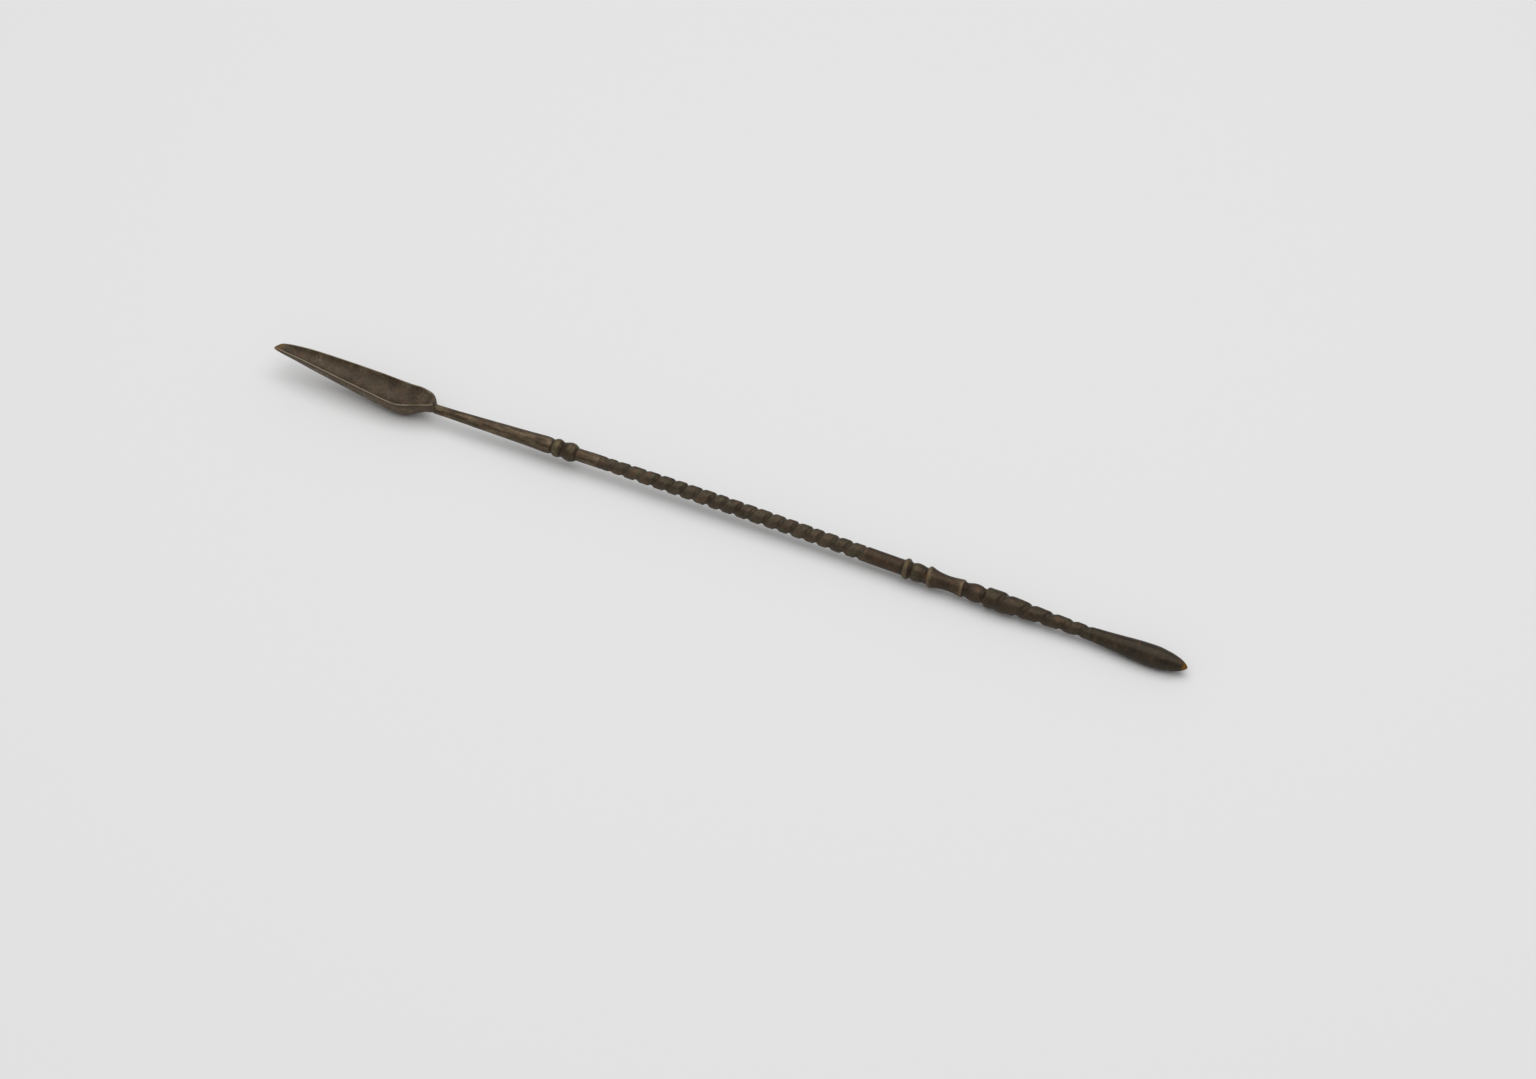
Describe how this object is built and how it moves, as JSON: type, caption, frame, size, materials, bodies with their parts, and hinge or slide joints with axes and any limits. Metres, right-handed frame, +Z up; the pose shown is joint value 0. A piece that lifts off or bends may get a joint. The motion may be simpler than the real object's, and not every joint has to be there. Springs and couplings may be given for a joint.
{
  "type": "scoop probe",
  "caption": "Slender bronze hand probe with a pointed scoop at one end, a spirally grooved grip, turned mouldings and an olive-shaped end.",
  "frame": {"origin": "on the resting plane, under the middle of the probe's bounding box", "axes": "+X along the bar from the scoop's tip towards the olive, +Z up out of the scoop's hollow, +Y away from the viewer"},
  "size_m": [0.165, 0.0058, 0.0052],
  "materials": {
    "bowl_bronze": "dark brown patinated bronze, satin",
    "shaft_bronze": "dark brown patinated bronze, satin, rubbed on the crests",
    "groove_bronze": "dark patinated bronze with dull greenish grooves",
    "olive_bronze": "dark patinated bronze, smooth, amber at the tip"
  },
  "bodies": {
    "root": {"scoop_bowl": "bowl_bronze", "tapered_neck": "shaft_bronze", "neck_collar": "shaft_bronze", "neck_bead": "shaft_bronze", "front_shank": "shaft_bronze", "spiral_grip": "groove_bronze", "rear_shank": "shaft_bronze", "rear_collar": "shaft_bronze", "rear_bead": "shaft_bronze", "waisted_spool": "shaft_bronze", "probe_bead": "shaft_bronze", "probe_twist": "groove_bronze", "olive_probe": "olive_bronze"}
  },
  "joints": []
}
